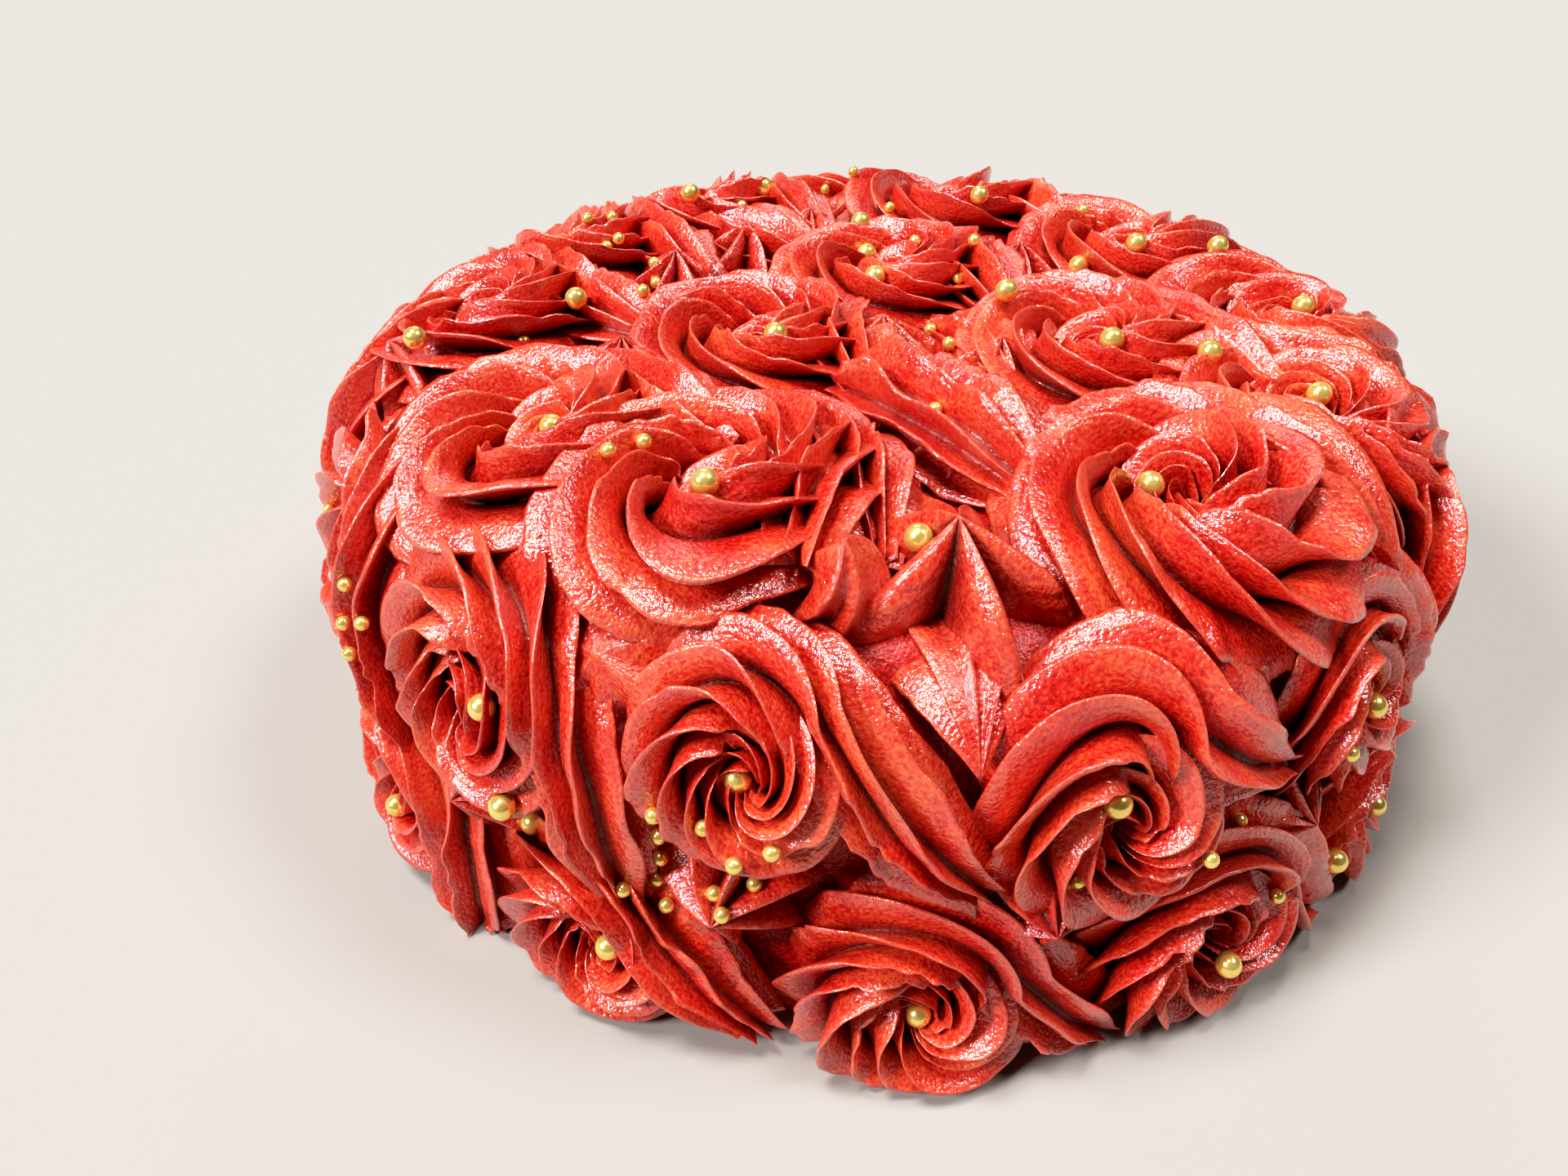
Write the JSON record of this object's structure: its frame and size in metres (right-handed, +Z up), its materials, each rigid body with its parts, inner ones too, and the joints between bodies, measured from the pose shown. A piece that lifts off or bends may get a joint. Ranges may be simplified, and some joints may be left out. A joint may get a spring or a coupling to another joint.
{
  "type": "rose swirl cake",
  "caption": "Round uncut cake covered on its top and wall with piped red buttercream roses and dotted with gold sugar pearls, with a flat underside to stand on.",
  "frame": {"origin": "middle of the flat underside, on the cake's axis", "axes": "+Z up along the cake's axis, -Y towards the front that the picture shows, +X to the right of that front"},
  "size_m": [0.2253, 0.2249, 0.0952],
  "materials": {
    "buttercream": "red whipped buttercream with a moist sheen",
    "gold_pearl": "polished gold sugar pearls"
  },
  "bodies": {
    "root": {"cake": "buttercream"}
  },
  "joints": []
}
